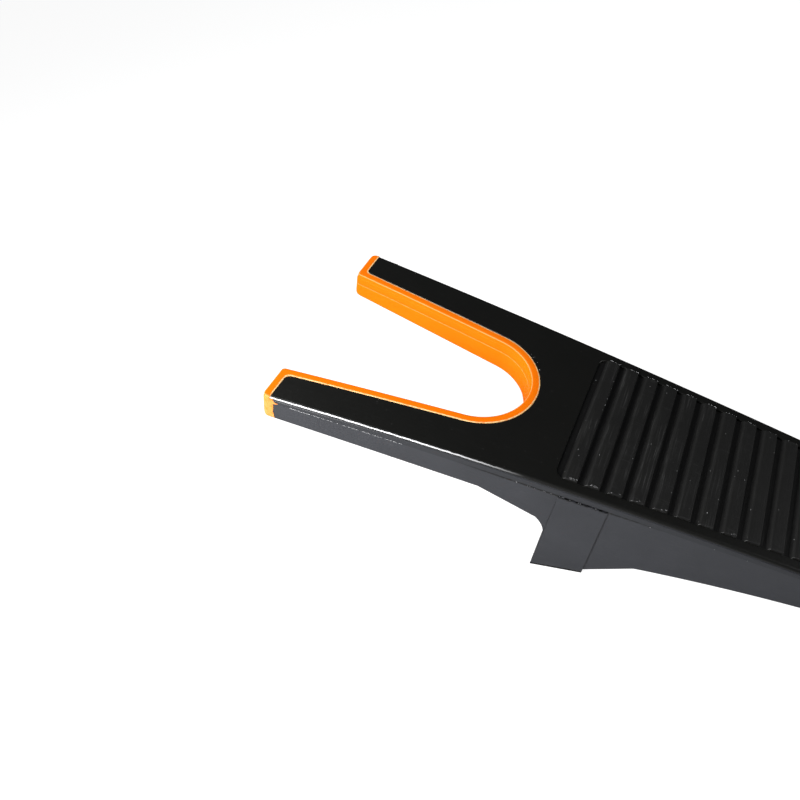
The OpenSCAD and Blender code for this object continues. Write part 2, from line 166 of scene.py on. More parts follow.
# ---------------------------------------------------------------- the housing
# The body is one hollow moulding in black plastic, with a satin spark-eroded
# face. Each leg is its own slide in the mould, which leaves a fine line at its
# front and rear; these lines carry painted shade for the leg's slight step. The
# deck slopes down to the heel.

slope = math.radians(17.0)
deck_height = 60.3
deck_shift = 1.8637
camber_radius = 3100.0
parting_share = 0.4


def sum_of(tree, operation, *values):
    """The result of a Math node. Each value is a number or another node's output."""
    node = part_of(tree, "ShaderNodeMath", operation=operation)
    for socket, value in zip(node.inputs, values):
        joined(tree, socket, value)
    return node.outputs[0]


def product_of(tree, *values):
    """All the values multiplied together."""
    result = values[0]
    for value in values[1:]:
        result = sum_of(tree, "MULTIPLY", result, value)
    return result


def away_from(tree, value, line):
    """The distance between a value and a line: the difference without its sign."""
    return sum_of(tree, "ABSOLUTE", sum_of(tree, "SUBTRACT", value, line))


def blend_of(tree, share, a, b):
    """A colour that runs from a to b with the share. Each is a colour or an output."""
    node = part_of(tree, "ShaderNodeMix", data_type="RGBA")
    for socket, value in ((0, share), (6, a), (7, b)):
        joined(tree, node.inputs[socket], value + (1.0,) if isinstance(value, tuple) else value)
    return node.outputs[2]


def new_group(name, inputs, outputs):
    """An empty shader node group with number inputs and number or vector outputs."""
    group = bpy.data.node_groups.new(name, "ShaderNodeTree")
    for key, value in inputs.items():
        socket = group.interface.new_socket(key, in_out="INPUT", socket_type="NodeSocketFloat")
        socket.default_value = value
    for key, kind in outputs.items():
        group.interface.new_socket(key, in_out="OUTPUT", socket_type=kind)
    return group, group.nodes.new("NodeGroupInput"), group.nodes.new("NodeGroupOutput")


def placed(tree, group, **values):
    """A group placed in a material with its own input values."""
    node = part_of(tree, "ShaderNodeGroup", node_tree=group)
    for name, value in values.items():
        node.inputs[name].default_value = value
    return node


# Where a point lies on the sloping deck: along, across and above it, in mm
deck_place, _, place_out = new_group("deck_place", {}, {
    "Point": "NodeSocketVector", "Along": "NodeSocketFloat",
    "Across": "NodeSocketFloat", "Above": "NodeSocketFloat"})
where = part_of(deck_place, "ShaderNodeTexCoord")
lay_flat = part_of(
    deck_place, "ShaderNodeMapping", vector_type="TEXTURE", in_Vector=where.outputs["Object"],
    in_Location=(deck_shift / 1000, 0.0, deck_height / 1000), in_Rotation=(0.0, slope, 0.0),
    in_Scale=(0.001, 0.001, 0.001))
apart = part_of(deck_place, "ShaderNodeSeparateXYZ")
joined(deck_place, apart.inputs[0], lay_flat.outputs[0])
joined(deck_place, place_out.inputs["Point"], lay_flat.outputs[0])
for k, key in enumerate(("Along", "Across", "Above")):
    joined(deck_place, place_out.inputs[key], apart.outputs[k])

# Moulded grain: fine bumps, a broader waviness and a slow change of tone
moulded_grain, grain_in, grain_out = new_group("moulded_grain", {
    "Size": 0.5, "Waves": 0.3}, {
    "Height": "NodeSocketFloat", "Tone": "NodeSocketFloat", "Fine": "NodeSocketFloat"})
point = placed(moulded_grain, deck_place).outputs["Point"]
finer = sum_of(moulded_grain, "DIVIDE", 1.0, grain_in.outputs["Size"])
speck = part_of(moulded_grain, "ShaderNodeTexNoise", in_Vector=point, in_Scale=finer,
                in_Detail=3.0, in_Roughness=0.6)
wave = part_of(moulded_grain, "ShaderNodeTexNoise", in_Vector=point, in_Scale=0.22, in_Detail=2.0)
slow = part_of(moulded_grain, "ShaderNodeTexNoise", in_Vector=point, in_Scale=0.045,
               in_Detail=4.0, in_Roughness=0.6)
rise = sum_of(moulded_grain, "MULTIPLY_ADD", wave.outputs["Fac"], grain_in.outputs["Waves"],
              speck.outputs["Fac"])
for key, output in (("Height", rise), ("Tone", slow.outputs["Fac"]),
                    ("Fine", speck.outputs["Fac"])):
    joined(moulded_grain, grain_out.inputs[key], output)

# Handling marks: sparse scuffs along the deck and specks of pale dust
handling, hand_in, hand_out = new_group("handling", {
    "Scuffs": 0.5, "Dust": 0.5}, {
    "Scuff": "NodeSocketFloat", "Dust": "NodeSocketFloat"})
point = placed(handling, deck_place).outputs["Point"]
drawn = part_of(handling, "ShaderNodeMapping", vector_type="POINT", in_Vector=point,
                in_Rotation=(0.0, 0.0, 0.35), in_Scale=(0.10, 1.6, 1.6))
scuff = part_of(handling, "ShaderNodeTexNoise", in_Vector=drawn.outputs[0], in_Scale=1.0,
                in_Detail=5.0, in_Roughness=0.65)
sparse = part_of(handling, "ShaderNodeTexNoise", in_Vector=point, in_Scale=0.06, in_Detail=1.0)
marked = product_of(handling, ramp_of(handling, scuff.outputs["Fac"], 0.60, 0.75),
                    sparse.outputs["Fac"], hand_in.outputs["Scuffs"])
joined(handling, hand_out.inputs["Scuff"], marked)
cells = part_of(handling, "ShaderNodeTexVoronoi", in_Vector=point, in_Scale=0.35,
                in_Randomness=1.0)
chosen = part_of(handling, "ShaderNodeSeparateColor", in_Color=cells.outputs["Color"])
few = sum_of(handling, "GREATER_THAN", chosen.outputs[0], 0.80)
dusty = product_of(handling, ramp_of(handling, cells.outputs["Distance"], 0.10, 0.03), few,
                   hand_in.outputs["Dust"])
joined(handling, hand_out.inputs["Dust"], dusty)


def finish(name, colour, roughness, tones, grain, waves, bump, scuffs, dust, pale, specular):
    """A moulded finish: its colour swings by tones, scuffs and dust lighten it towards
    pale, its roughness follows the fine grain, and the grain is its bump."""
    material = bpy.data.materials.new(name)
    material.use_nodes = True
    tree = material.node_tree
    shader = tree.nodes["Principled BSDF"]
    shader.inputs["IOR"].default_value = 1.5
    shader.inputs["Specular IOR Level"].default_value = specular
    grain_at = placed(tree, moulded_grain, Size=grain, Waves=waves)
    marks = placed(tree, handling, Scuffs=scuffs, Dust=dust)
    swing = blend_of(tree, grain_at.outputs["Tone"], tuple(c * (1 - tones) for c in colour),
                     tuple(c * (1 + tones) for c in colour))
    either = sum_of(tree, "MAXIMUM", marks.outputs["Scuff"], marks.outputs["Dust"])
    worn = blend_of(tree, either, swing, pale)
    relief = part_of(tree, "ShaderNodeBump", in_Strength=bump, in_Distance=0.0001,
                     in_Height=grain_at.outputs["Height"])
    joined(tree, shader.inputs["Base Color"], worn)
    joined(tree, shader.inputs["Roughness"],
           ramp_of(tree, grain_at.outputs["Fine"], 0.3, 0.7, roughness - 0.05, roughness + 0.06))
    joined(tree, shader.inputs["Normal"], relief.outputs[0])
    return material, tree, shader, worn, relief


def wear(node_name, material):
    """Gives a CAD node its one material."""
    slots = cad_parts[node_name].data.materials
    slots.clear()
    slots.append(material)


black_plastic, tree, shader, worn, _ = finish(
    "black_plastic", colour=(0.0360, 0.0378, 0.0445), roughness=0.36, tones=0.22, grain=0.42,
    waves=0.5, bump=0.35, scuffs=0.35, dust=0.25, pale=(0.16, 0.16, 0.165), specular=0.60)
at = placed(tree, deck_place)

# The slide lines at a leg's front and rear: where each meets the deck's plane,
# and its lean in degrees. They start under the cover. Each is a real mould line
# with painted shade, a near-black stripe for the shade of the leg's slight step
slide_lines = ((-5.0, 0.3), (17.2, 2.3))
line_edge, line_core = 0.26, 0.12
slide_shade = 0.0
for foot, lean in slide_lines:
    line = sum_of(tree, "MULTIPLY_ADD", at.outputs["Above"], math.tan(math.radians(lean)), -foot)
    gap = sum_of(tree, "ABSOLUTE", sum_of(tree, "ADD", at.outputs["Along"], line))
    slide_shade = sum_of(tree, "MAXIMUM", ramp_of(tree, gap, line_edge, line_core), slide_shade)
slide_shade = product_of(tree, slide_shade, ramp_of(tree, at.outputs["Above"], -9.0, -10.5), 0.5)

# Painted shade along the parting line, over the legs: a ragged near-black band
# on the housing just under the cover's lower edge, for the shaded gap between them
gap_shade_depth = 6.15
along_squared = product_of(tree, at.outputs["Along"], at.outputs["Along"])
parting = sum_of(tree, "MULTIPLY_ADD", along_squared, -parting_share / (2 * camber_radius),
                 -gap_shade_depth)
torn = placed(tree, moulded_grain, Size=1.1, Waves=0.0)
gap_shade_reach = sum_of(tree, "MULTIPLY_ADD", torn.outputs["Fine"], 1.7, -0.62)
gap_shade = sum_of(tree, "LESS_THAN", away_from(tree, at.outputs["Above"], parting), gap_shade_reach)
gap_shade = product_of(tree, gap_shade,
                    ramp_of(tree, away_from(tree, at.outputs["Along"], -3.0), 46.0, 20.0))
# Near black where the slide lines' painted shade and the gap's painted shade fall
joined(tree, shader.inputs["Base Color"],
       blend_of(tree, sum_of(tree, "MAXIMUM", slide_shade, gap_shade), worn, (0.002, 0.002, 0.002)))
wear("body", black_plastic)

# ---------------------------------------------------------------- the cover
# A soft black skin is moulded over the housing's top and rolled down its flanks
# to a parting line. Its top edge is rounded, with a fine groove below, and it
# is let in for the tread and the slot's lining.

fork_end, heel_end = -143.3, 150.0
fork_half, narrowing, waist = 59.8, 25.9, 4.0
heel_round = 16.0
skin_edge = 1.2
slot_centre, slot_radius = -62.7, 27.1
slot_flare = 8.4
lining_room = 4.6
arm_corner = 3.0
opening_ends = (-10.0, 134.6)
opening_margin = 5.4
opening_round = 5.5


def camber(u):
    """How far the deck's long arc falls below its middle at u."""
    return camber_radius - np.sqrt(camber_radius ** 2 - u ** 2)


def half_width(u):
    """Half the deck's width at u: a straight taper from fork to heel, less a parabola
    that is deepest halfway, for the waist."""
    t = (u - fork_end) / (heel_end - fork_end)
    return fork_half - narrowing * t - waist * t * (1.0 - t)


def half_slot(u, g):
    """Half the slot's width at u, ahead of its round end, grown by g: the straight that
    touches the round end and opens by the flare."""
    flare = math.radians(slot_flare)
    return (slot_radius + g) / math.cos(flare) - (u - slot_centre) * math.tan(flare)


def on_floor(u, v, n):
    """Points given along, across and above the deck in mm, turned down by the slope and
    raised to the deck's height, as metres."""
    u, v, n = np.broadcast_arrays(u, v, n)
    x = u * math.cos(slope) + n * math.sin(slope) + deck_shift
    z = deck_height - u * math.sin(slope) + n * math.cos(slope)
    return np.stack([x, v, z], axis=-1) / 1000.0


def drift(x, pitch, seed):
    """Smooth noise between -1 and 1 along x: seeded knots a pitch apart, joined by cosines."""
    knots = np.random.default_rng(seed).uniform(-1.0, 1.0, 4096)
    at_knot = x / pitch + 1024.0
    low = np.floor(at_knot).astype(int) % 4095
    share = (1.0 - np.cos((at_knot - np.floor(at_knot)) * np.pi)) / 2.0
    return knots[low] * (1.0 - share) + knots[low + 1] * share


def arc(centre, r, start, stop, count):
    """Points on a circle about centre from one angle to another, in degrees."""
    a = np.radians(np.linspace(start, stop, count))
    return np.stack([centre[0] + r * np.cos(a), centre[1] + r * np.sin(a)], axis=-1)


def straight(a, b, count):
    """Points along a line from a towards b, without b."""
    t = np.linspace(0.0, 1.0, count, endpoint=False)[:, None]
    return np.asarray(a) * (1.0 - t) + np.asarray(b) * t


def slot_side(g, front, r):
    """One side of the slot, grown by g: round end, flared straight, then a corner of
    radius r on to the front line. Returned as three runs of plan points."""
    lean = math.radians(slot_flare)
    end = arc((slot_centre, 0.0), slot_radius + g, 0.0, 90.0 - slot_flare, 90)[:-1]
    centre_u = front + r
    centre_v = half_slot(centre_u, g) + r / math.cos(lean)
    corner = arc((centre_u, centre_v), r, -90.0 - slot_flare, -180.0, 14)
    start = (slot_centre + (slot_radius + g) * math.sin(lean), (slot_radius + g) * math.cos(lean))
    return end, straight(start, corner[0], 130), corner


def closed_mesh(name, points, first="cap", last="cap"):
    """Closed rings of points, one to a station, joined into a tube. Its ends are capped
    by one face, or zipped side to side where a ring is the same on both sides."""
    count, ring = points.shape[:2]
    k, m = np.meshgrid(np.arange(count - 1), np.arange(ring), indexing="ij")
    a, b = k * ring + m, k * ring + (m + 1) % ring
    faces = np.stack([a, b, b + ring, a + ring], axis=-1).reshape(-1, 4).tolist()
    for station, closed_by in ((0, first), (count - 1, last)):
        base = station * ring
        if closed_by == "cap":
            faces.append(list(range(base, base + ring)))
        else:
            m = np.arange(ring // 2 - 1)
            faces += np.stack([base + m, base + m + 1, base + ring - 2 - m, base + ring - 1 - m],
                              axis=-1).tolist()
    mesh = bpy.data.meshes.new(name)
    mesh.from_pydata(points.reshape(-1, 3).tolist(), [], faces)
    work = bmesh.new()
    work.from_mesh(mesh)
    bmesh.ops.recalc_face_normals(work, faces=work.faces)
    work.to_mesh(mesh)
    work.free()
    return mesh


def stand(name, mesh, material, slot, smooth, *stands_for):
    """Puts a finished mesh in the scene at the origin, riding on the boot jack, in place
    of the CAD nodes that it stands for. Edges sharper than smooth degrees stay sharp."""
    mesh.shade_smooth()
    mesh.set_sharp_from_angle(angle=math.radians(smooth))
    mesh.materials.clear()
    mesh.materials.append(material)
    piece = bpy.data.objects.new(name, mesh)
    bpy.context.scene.collection.objects.link(piece)
    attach(piece, "root")
    if stands_for:
        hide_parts(*stands_for)


# The lid's layers: inset from the flank, depth, share of the camber, and whether
# the layer is ragged. They run from the ceiling's edge down inside the rim, out
# under it, up the flank past the groove, and round the top edge
turns = np.radians(np.linspace(0.0, 90.0, 13))
lid_layers = np.array(
    [(5.0, 3.0, 1.0, 0), (2.4, 3.0, 1.0, 0), (2.0, 3.0, 1.0, 0), (2.0, 5.8, parting_share, 0),
     (0.0, 5.8, parting_share, 1), (0.0, 4.6, 0.6, 0), (0.0, 2.42, 1.0, 0), (0.07, 2.28, 1.0, 0),
     (0.34, 2.06, 1.0, 0), (0.36, 1.96, 1.0, 0), (0.09, 1.74, 1.0, 0), (0.0, 1.60, 1.0, 0)]
    + [(skin_edge * (1 - math.cos(a)), skin_edge * (1 - math.sin(a)), 1.0, 0) for a in turns]
    + [(1.6, 0.0, 1.0, 0), (4.0, 0.0, 1.0, 0)])
inset, deep, share, ragged = (lid_layers[:, k][None, :] for k in range(4))

# Its stations run from ahead of the arms, which the cutter trims, round the heel
lid_start, lid_step = -150.0, 0.5
heel_line = heel_end - heel_round
run_u = np.arange(lid_start, heel_line, lid_step)[:, None]
turn_a = np.radians(np.linspace(0.0, 90.0, 37))[:, None]
lid_u = np.concatenate([run_u + 0.0 * inset, heel_line + (heel_round - inset) * np.sin(turn_a)])
lid_v = np.concatenate([
    half_width(run_u) - inset,
    half_width(heel_line) - heel_round + (heel_round - inset) * np.cos(turn_a)])

# The lower edge frays over the legs and is a little uneven everywhere
frayed, fray_runout = (-36.0, 18.0), 8.0
fray = 0.22 * drift(lid_u, 1.3, 5) \
    * np.clip((lid_u - frayed[0]) / fray_runout, 0.0, 1.0) \
    * np.clip((frayed[1] - lid_u) / fray_runout, 0.0, 1.0)
lid_n = -deep - share * camber(lid_u) + ragged * (fray + 0.04 * drift(lid_u, 2.2, 6))
near_half = on_floor(lid_u, -lid_v, lid_n)
far_half = on_floor(lid_u, lid_v, lid_n)[:, ::-1]
lid = closed_mesh("deck_lid", np.concatenate([near_half, far_half], axis=1), "cap", "zip")

# The cutters open out by a hair at the deck, which rounds the cut edges. Each
# ring's height over the deck, growth, and whether it follows the camber
mouth = ((5.0, 0.24, 0), (0.02, 0.24, 1), (-0.05, 0.13, 1), (-0.11, 0.06, 1),
         (-0.19, 0.02, 1), (-0.30, 0.0, 1), (-12.0, 0.0, 0))


def slot_cutter(e):
    """Plan of the slot with the lining's room, and all in front of the arms, grown by e."""
    half = np.concatenate(slot_side(lining_room + e, fork_end + e, arm_corner + e))
    half = np.concatenate([half, [(fork_end + e, 66.0), (-165.0, 66.0)]])
    return np.concatenate([half[::-1], (half * (1, -1))[1:]])


def tread_cutter(e):
    """Plan of the tread's opening, grown by e: a panel a margin in from the deck's edges,
    with a quarter circle at each corner."""
    r = opening_round + e
    ends = (opening_ends[0] - e, opening_ends[1] + e)
    a = np.radians(np.linspace(0.0, 90.0, 13))
    along = np.linspace(ends[0] + r, ends[1] - r, 181)[1:-1]
    u = np.concatenate([ends[0] + r - r * np.cos(a), along, ends[1] - r + r * np.sin(a)])
    v = half_width(np.clip(u, *opening_ends)) - opening_margin + e \
        - np.concatenate([r - r * np.sin(a), 0.0 * along, r - r * np.cos(a)])
    half = np.stack([u, v], axis=-1)
    return np.concatenate([half[::-1], half * (1, -1)])


def cut_away(mesh, plan, opening):
    """Takes the plan, opened out at the deck by a share of the mouth, off the mesh by an
    exact Boolean, and drops any face that it leaves joined to nothing."""
    rings = []
    for height, growth, follows in mouth:
        u, v = plan(growth * opening).T
        rings.append(on_floor(u, v, height - follows * camber(u)))
    blade = bpy.data.objects.new("blade", closed_mesh("blade", np.stack(rings)))
    work = bpy.data.objects.new("work", mesh)
    for thing in (blade, work):
        bpy.context.scene.collection.objects.link(thing)
    knife = work.modifiers.new("cut", "BOOLEAN")
    knife.operation, knife.solver, knife.object = "DIFFERENCE", "EXACT", blade
    bpy.context.view_layer.update()
    result = work.evaluated_get(bpy.context.evaluated_depsgraph_get())
    cut_mesh = bpy.data.meshes.new_from_object(result)
    trim = bmesh.new()
    trim.from_mesh(cut_mesh)
    loose = [f for f in trim.faces if all(len(e.link_faces) == 1 for e in f.edges)]
    bmesh.ops.delete(trim, geom=loose, context="FACES")
    trim.to_mesh(cut_mesh)
    trim.free()
    for thing in (blade, work):
        old = thing.data
        bpy.data.objects.remove(thing)
        bpy.data.meshes.remove(old)
    return cut_mesh


lid = cut_away(lid, slot_cutter, 0.6)
lid = cut_away(lid, tread_cutter, 1.0)
lid.name = "deck_lid"

black_skin, tree, shader, worn, _ = finish(
    "black_skin", colour=(0.0052, 0.0052, 0.0046), roughness=0.34, tones=0.20, grain=0.55,
    waves=0.4, bump=0.18, scuffs=0.10, dust=0.35, pale=(0.12, 0.12, 0.12), specular=0.50)

# How far in from the flank and how far below the cambered deck a point lies, by
# the formulas of half_width and camber
at = placed(tree, deck_place)
deck_run = heel_end - fork_end
t = sum_of(tree, "MULTIPLY_ADD", at.outputs["Along"], 1 / deck_run, -fork_end / deck_run)
bow = product_of(tree, t, sum_of(tree, "SUBTRACT", 1.0, t), -waist)
half = sum_of(tree, "ADD", sum_of(tree, "MULTIPLY_ADD", t, -narrowing, fork_half), bow)
in_from = sum_of(tree, "SUBTRACT", half, sum_of(tree, "ABSOLUTE", at.outputs["Across"]))
fall = product_of(tree, at.outputs["Along"], at.outputs["Along"], -1 / (2 * camber_radius))
below = sum_of(tree, "SUBTRACT", fall, at.outputs["Above"])

# The flank below the groove is painted in the housing's lighter tone: partly a
# finish like the housing's, partly painted light for the floor light on the flank
flank_tone_and_light = blend_of(tree, ramp_of(tree, below, 1.35, 1.75), worn, (0.0300, 0.0315, 0.0365))

# A painted highlight in pale grey runs along the rounded edge of the arms,
# fading out behind the slot
ridge_depth, ridge_edge, ridge_core = 0.62, 0.36, 0.20
ripple = placed(tree, moulded_grain, Size=2.4, Waves=0.0)
wobble = sum_of(tree, "MULTIPLY_ADD", ripple.outputs["Fine"], 0.5, -0.25)
ridge = sum_of(tree, "ABSOLUTE", sum_of(
    tree, "ADD", sum_of(tree, "SUBTRACT", below, ridge_depth), wobble))
edge_highlight = product_of(
    tree, ramp_of(tree, ridge, ridge_edge, ridge_core),
    ramp_of(tree, at.outputs["Along"], -22.0, -66.0), ramp_of(tree, in_from, 1.25, 1.05))
highlit_edge_colour = blend_of(tree, edge_highlight, flank_tone_and_light, (0.80, 0.80, 0.82))

# Either side of the legs, painted shade: a thin near-black band along the
# cover's lower edge stands for the dark gap under it
lip_depth = 5.62
lip = sum_of(tree, "MULTIPLY_ADD", fall, parting_share, -lip_depth)
nibble = placed(tree, moulded_grain, Size=1.3, Waves=0.0)
lid_shade_reach = sum_of(tree, "MULTIPLY_ADD", nibble.outputs["Fine"], 1.0, -0.20)
gap = product_of(
    tree, sum_of(tree, "LESS_THAN", away_from(tree, lip, at.outputs["Above"]), lid_shade_reach),
    ramp_of(tree, away_from(tree, at.outputs["Along"], -5.0), 48.0, 34.0))
# Near black where the painted shade of the gap lies
joined(tree, shader.inputs["Base Color"],
       blend_of(tree, gap, highlit_edge_colour, (0.0008, 0.0008, 0.0008)))
stand("deck_lid", lid, black_skin, "cover", 14.0, "deck_cover")

# ---------------------------------------------------------------- the lining
# An orange elastomer lines the slot and wraps both arm ends. It has a flat rim,
# a stepped lip under it and a fine shut-off line. Pale lines along its edges are
# partly paler elastomer and partly painted highlights.

rim_width = 4.5
front_face = -147.8
void_corner, outer_corner = 1.6, 2.8
knee_u, knee_run = -40.0, 34.86
tip_depth, arm_depth, leg_depth = 17.81, 18.06, 26.7
tip_round = 3.0
void_runs = slot_side(0.0, front_face, void_corner)
plank_runs = slot_side(rim_width, fork_end, arm_corner)


def tip_run(corner, front, stop_v):
    """Front line out from the slot's corner to the arm's outer corner. It ends there on
    stop_v, or else turns the corner and runs back along the flank to the fork's end."""
    outer = half_width(front + outer_corner) - outer_corner
    line = straight(corner[-1], (front, outer), 60)[1:]
    if stop_v is not None:
        last = np.stack([np.full(23, front), np.linspace(outer, stop_v, 23)], axis=-1)
        return np.concatenate([line, last])
    turn = arc((front + outer_corner, outer), outer_corner, 180.0, 92.0, 14)
    back = np.linspace(turn[-1][0], fork_end - 0.02, 10)[1:]
    return np.concatenate([line, turn, np.stack([back, half_width(back)], axis=-1)])


void_half = np.concatenate([*void_runs, tip_run(void_runs[2], front_face, None)])
plank_half = np.concatenate(
    [*plank_runs, tip_run(plank_runs[2], fork_end, half_width(fork_end) - 0.25)])
void_line = np.concatenate([void_half[::-1], (void_half * (1, -1))[1:]])
plank_line = np.concatenate([plank_half[::-1], (plank_half * (1, -1))[1:]])

# Round the section: distance from the slot's face, depth below the deck, and lift
# off the underside, where -1 says that the depth counts
section = np.array([
    (4.50, 0.0, 0.0), (4.50, 8.0, -1), (4.50, 2.0, -1), (4.50, 0.26, -1), (4.48, 0.12, -1),
    (4.43, 0.04, -1), (4.34, 0.00, -1), (3.70, -0.03, -1), (2.60, -0.05, -1), (1.60, -0.04, -1),
    (1.00, 0.0, -1), (0.74, 0.04, -1), (0.56, 0.14, -1), (0.44, 0.30, -1), (0.40, 0.50, -1),
    (0.40, 1.20, -1), (0.40, 1.88, -1), (0.36, 2.02, -1), (0.22, 2.10, -1), (0.09, 2.18, -1),
    (0.02, 2.32, -1), (0.00, 2.60, -1), (0.00, 4.40, -1), (0.00, 6.20, -1), (0.09, 6.40, -1),
    (0.13, 6.55, -1), (0.09, 6.70, -1), (0.00, 6.90, -1), (0.00, 8.0, -1), (0.00, 0.0, 2.4),
    (0.00, 0.0, 1.0), (0.04, 0.0, 0.4), (0.14, 0.0, 0.16), (0.34, 0.0, 0.04), (0.70, 0.0, 0.0),
    (1.20, 0.0, 0.0), (1.80, 0.0, 0.0), (2.50, 0.0, 0.0), (3.20, 0.0, 0.0), (3.90, 0.0, 0.0)])
distance, depth, lift = section.T
least_wall = 2.6


def underside(u):
    """The arms' lower edge: a straight run from the tip to the knee's line, a steeper
    one down to the legs, and a quarter circle up at the tip."""
    tip_u = front_face + tip_round
    rake = (arm_depth - tip_depth) / (fork_end - knee_u)
    run = np.where(u < knee_u, -arm_depth + (u - knee_u) * rake,
                   -arm_depth - (u - knee_u) * (leg_depth - arm_depth) / knee_run)
    tip = -arm_depth + (tip_u - knee_u) * rake + tip_round
    quarter = np.sqrt(np.clip(tip_round ** 2 - (u - tip_u) ** 2, 0.0, None))
    return np.where(u < tip_u, tip - quarter, run)


def stamp(mesh, name, values):
    """Stores a number at each point of a mesh, for its material to read."""
    numbers = np.asarray(values, dtype=np.float32).ravel()
    mesh.attributes.new(name, "FLOAT", "POINT").data.foreach_set("value", numbers)


t = (distance / rim_width)[None, :, None]
plan = void_line[:, None, :] * (1.0 - t) + plank_line[:, None, :] * t
plan_u, plan_v = plan[..., 0], plan[..., 1]
lining_n = np.where(lift < 0, np.maximum(-camber(plan_u) - depth, underside(plan_u) + least_wall),
                    underside(plan_u) + np.abs(lift))
lining = closed_mesh("slot_liner", on_floor(plan_u, plan_v, lining_n))
stamp(lining, "across", np.broadcast_to(distance, plan_u.shape))
stamp(lining, "deep", -camber(plan_u) - lining_n)

orange_liner, tree, shader, worn, _ = finish(
    "orange_liner", colour=(1.0, 0.195, 0.002), roughness=0.52, tones=0.06, grain=0.60,
    waves=0.5, bump=0.22, scuffs=0.0, dust=0.12, pale=(0.95, 0.62, 0.35), specular=0.06)

# Fine pale lines: on the rim's outer edge, partly a paler edge and partly a
# painted highlight; on the lip, a painted highlight; and broken ones where the
# mould shut, a painted highlight on the real shut-off ridge
shut_depth, shut_edge, shut_core = 6.55, 0.28, 0.12
across = part_of(tree, "ShaderNodeAttribute", attribute_name="across").outputs["Fac"]
deep_at = part_of(tree, "ShaderNodeAttribute", attribute_name="deep").outputs["Fac"]
broken = placed(tree, moulded_grain, Size=1.6, Waves=0.0)
patchy = ramp_of(tree, broken.outputs["Fine"], 0.38, 0.52, 0.45, 1.0)
on_top = ramp_of(tree, deep_at, 0.5, 0.3)
rim_pale_and_sheen = product_of(tree, ramp_of(tree, across, 3.78, 3.92), patchy, on_top)
lip_highlight = product_of(tree, ramp_of(tree, across, 0.95, 0.60), on_top, 0.35)
shut_line_sheen = product_of(
    tree, ramp_of(tree, away_from(tree, deep_at, shut_depth), shut_edge, shut_core), patchy, 0.30)
pale_and_sheen_lines = sum_of(tree, "MAXIMUM", sum_of(tree, "MAXIMUM", rim_pale_and_sheen, lip_highlight), shut_line_sheen)
lined = blend_of(tree, pale_and_sheen_lines, worn, (1.0, 0.66, 0.30))

# The arms' outer corners are rubbed to a paler orange
at = placed(tree, deck_place)
out_from = sum_of(tree, "ABSOLUTE", at.outputs["Across"])
corner_worn = product_of(tree, ramp_of(tree, out_from, 58.5, 59.5, 0.0, 0.8), patchy)
joined(tree, shader.inputs["Base Color"], blend_of(tree, corner_worn, lined, (0.92, 0.40, 0.115)))
stand("slot_liner", lining, orange_liner, "lining", 35.0, "slot_lining")

# The elastomer bled a little past the arm ends, on to the flanks: a ragged edge
# down the flank, with a long tongue near the top and a short one at the foot
bleed_front, bleed_back, bleed_skin, bleed_root = -143.5, 141.9, 0.06, 0.25
rows = np.linspace(1.3, 14.1, 60)[:, None]
reach = bleed_back - 0.5 * np.clip(1.0 - np.abs(rows - 1.3) / 4.0, 0.0, 1.0) \
    + 0.42 * drift(rows, 0.9, 11) - 2.3 * np.exp(-((rows - 3.9) / 0.45) ** 2) \
    - 1.1 * np.exp(-((rows - 14.0) / 0.9) ** 2)
front_edge = np.full_like(reach, bleed_front)
bleed_u = np.concatenate([-reach, -reach, front_edge, front_edge], axis=1)
bleed_in = np.array([[bleed_root, -bleed_skin, -bleed_skin, bleed_root]])
for tag, hand in (("near", -1.0), ("far", 1.0)):
    spots = on_floor(bleed_u, hand * (half_width(bleed_u) - bleed_in), -rows - camber(bleed_u))
    bleed = closed_mesh("liner_bleed_" + tag, spots)
    stamp(bleed, "across", np.full(len(bleed.vertices), 2.5))
    stamp(bleed, "deep", np.full(len(bleed.vertices), 5.0))
    stand("liner_bleed_" + tag, bleed, orange_liner, "lining", 35.0)

# ---------------------------------------------------------------- the tread
# A panel of black rubber with cross bars: each bar rises in a soft ramp on the
# fork's side and drops square on the heel's side. Drawn streaks run along it.

bar_pitch, bar_count = 10.0, 14
bar_top = 1.1
panel_depth, panel_gap = 3.0, 0.1
groove_level = -1.0
first_bar_from, last_bar_to = -6.9, 130.0
tread_ends = (opening_ends[0] + panel_gap, opening_ends[1] - panel_gap)
tread_round = opening_round - panel_gap
tread_margin = opening_margin + panel_gap

# A bar's section over one pitch: place along the deck, and fall from the bar's
# top. The square drop comes first, then the groove, the ramp and the flat top
bar_s, bar_h = np.array([
    (0.0, -0.45), (0.05, -1.5), (0.12, -1.85), (0.22, -2.02), (0.38, -2.09), (0.6, -2.1),
    (1.1, -2.1), (1.7, -2.1), (2.3, -2.1), (2.7, -2.07), (3.0, -1.95), (3.25, -1.72),
    (3.5, -1.40), (3.75, -1.05), (4.0, -0.70), (4.25, -0.42), (4.5, -0.22), (4.8, -0.11),
    (5.1, -0.06), (5.5, -0.03), (6.0, -0.01), (6.7, 0.0), (7.5, 0.0), (8.3, 0.0), (9.0, -0.01),
    (9.45, -0.02), (9.7, -0.03), (9.82, -0.05), (9.91, -0.10), (9.97, -0.20)]).T

stations = np.sort((np.arange(-1, bar_count)[:, None] * bar_pitch + bar_s).ravel())
stations = stations[(stations > tread_ends[0] + 0.05) & (stations < tread_ends[1] - 0.05)]
corner_d = tread_round * (1.0 - np.cos(np.radians(np.linspace(0.0, 90.0, 16))))
stations = np.unique(np.round(np.concatenate(
    [stations, tread_ends[0] + corner_d, tread_ends[1] - corner_d]), 4))


def bar_height(u, v):
    """Height over the deck's camber: the bar's section repeated along the deck, with its
    square edge wandering a little across the deck, and level ground at both ends."""
    wander = 0.05 * drift(v + 97.0 * np.floor(u / bar_pitch), 1.7, 21)
    s = np.mod(u + wander * 0.6, bar_pitch)
    h = bar_top + np.interp(s, bar_s, bar_h, period=bar_pitch)
    return np.where((u < first_bar_from) | (u > last_bar_to), np.minimum(h, groove_level), h)


